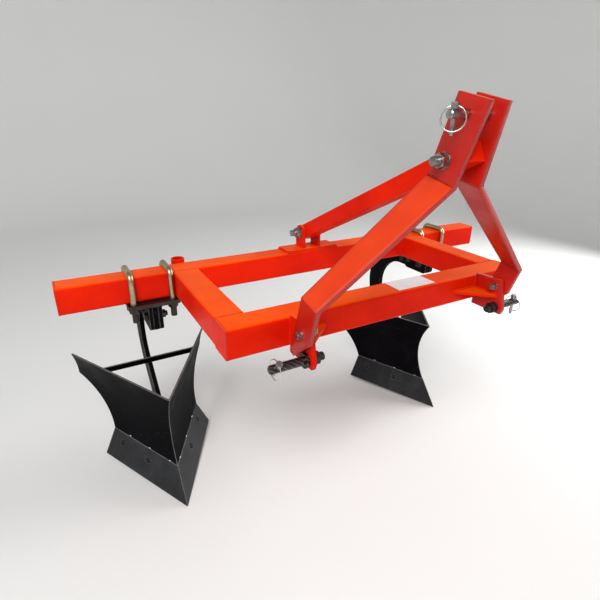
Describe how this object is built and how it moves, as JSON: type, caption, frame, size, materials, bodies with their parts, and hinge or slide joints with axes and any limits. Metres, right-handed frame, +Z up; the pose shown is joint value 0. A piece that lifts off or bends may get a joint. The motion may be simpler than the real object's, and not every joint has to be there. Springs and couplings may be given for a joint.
{
  "type": "two-row ridger",
  "caption": "Tractor-mounted ridger: square-tube frame with three-point mast and link pins, carrying winged ridging bodies on hooked shanks clamped by U-bolts.",
  "frame": {"origin": "on the ground under the middle of the bounding box", "axes": "+X along the toolbar, to the right as seen from the tractor, -Y forward to the tractor, +Z up"},
  "size_m": [1.64, 1.0444, 1.2705],
  "materials": {
    "orange_paint": "gloss",
    "black_paint": "satin",
    "plated_steel": "plated",
    "dark_steel": "dull",
    "yellow_zinc": "zinc passivated",
    "chrome_wire": "bright",
    "label": "blank"
  },
  "bodies": {
    "frame": {"toolbar": "orange_paint", "tube_end_caps": "orange_paint", "front_beam": "orange_paint", "side_rail_left": "orange_paint", "side_rail_right": "orange_paint", "stand_socket": "orange_paint", "hitch_plate_left": "orange_paint", "hitch_plate_right": "orange_paint", "hitch_gussets": "orange_paint", "mast_leg_left": "orange_paint", "mast_leg_right": "orange_paint", "brace_tube": "orange_paint", "brace_base_plate": "orange_paint", "brace_lugs": "orange_paint", "foot_bolts": "plated_steel", "foot_nuts": "plated_steel", "foot_washers": "plated_steel", "brace_bolts": "plated_steel", "brace_nuts": "plated_steel", "brace_washers": "plated_steel", "lower_link_pin_left": "dark_steel", "lower_link_pin_right": "dark_steel", "lower_link_nuts": "dark_steel", "lower_link_washers": "dark_steel", "lower_lynch_pegs": "plated_steel", "label_plate": "label"},
    "top_pin": {"top_link_pin": "plated_steel", "top_lynch_peg": "plated_steel"},
    "top_ring": {"top_lynch_ring": "chrome_wire"},
    "lower_ring_left": {"lower_lynch_ring_left": "chrome_wire"},
    "lower_ring_right": {"lower_lynch_ring_right": "chrome_wire"},
    "ridger_left": {"ubolts_left": "yellow_zinc", "ubolt_nuts_left": "dark_steel", "clamp_plate_left": "dark_steel", "shank_bracket_left": "black_paint", "shank_bolts_left": "dark_steel", "shank_nuts_left": "dark_steel", "shank_left": "black_paint", "frog_left": "black_paint", "shares_left": "black_paint", "mouldboard_left_outer": "black_paint", "mouldboard_left_inner": "black_paint", "share_bolts_left": "dark_steel", "share_nuts_left": "dark_steel", "strut_left": "black_paint"},
    "ridger_right": {"ubolts_right": "yellow_zinc", "ubolt_nuts_right": "dark_steel", "clamp_plate_right": "dark_steel", "shank_bracket_right": "black_paint", "shank_bolts_right": "dark_steel", "shank_nuts_right": "dark_steel", "shank_right": "black_paint", "frog_right": "black_paint", "shares_right": "black_paint", "mouldboard_right_outer": "black_paint", "mouldboard_right_inner": "black_paint", "share_bolts_right": "dark_steel", "share_nuts_right": "dark_steel", "strut_right": "black_paint"}
  },
  "joints": [
    {"name": "ridger_left_slide", "type": "slide", "parent": "frame", "child": "ridger_left", "axis": [-1, 0, 0], "range_m": [0, 0.17]},
    {"name": "ridger_right_slide", "type": "slide", "parent": "frame", "child": "ridger_right", "axis": [1, 0, 0], "range_m": [0, 0.17]},
    {"name": "top_link_pin_turn", "type": "hinge", "parent": "frame", "child": "top_pin", "pos_m": [0, -0.47047, 1.227], "axis": [1, 0, 0], "continuous": true},
    {"name": "top_ring_swing", "type": "hinge", "parent": "top_pin", "child": "top_ring", "pos_m": [-0.0725, -0.47047, 1.2427], "axis": [-0.6428, 0.766, 0], "range_deg": [0, 110]},
    {"name": "lower_ring_left_swing", "type": "hinge", "parent": "frame", "child": "lower_ring_left", "pos_m": [-0.41, -0.38294, 0.70909], "axis": [0, 0.8192, 0.5736], "range_deg": [0, 110]},
    {"name": "lower_ring_right_swing", "type": "hinge", "parent": "frame", "child": "lower_ring_right", "pos_m": [0.41, -0.37307, 0.7122], "axis": [0, -1, 0], "range_deg": [0, 110]}
  ]
}
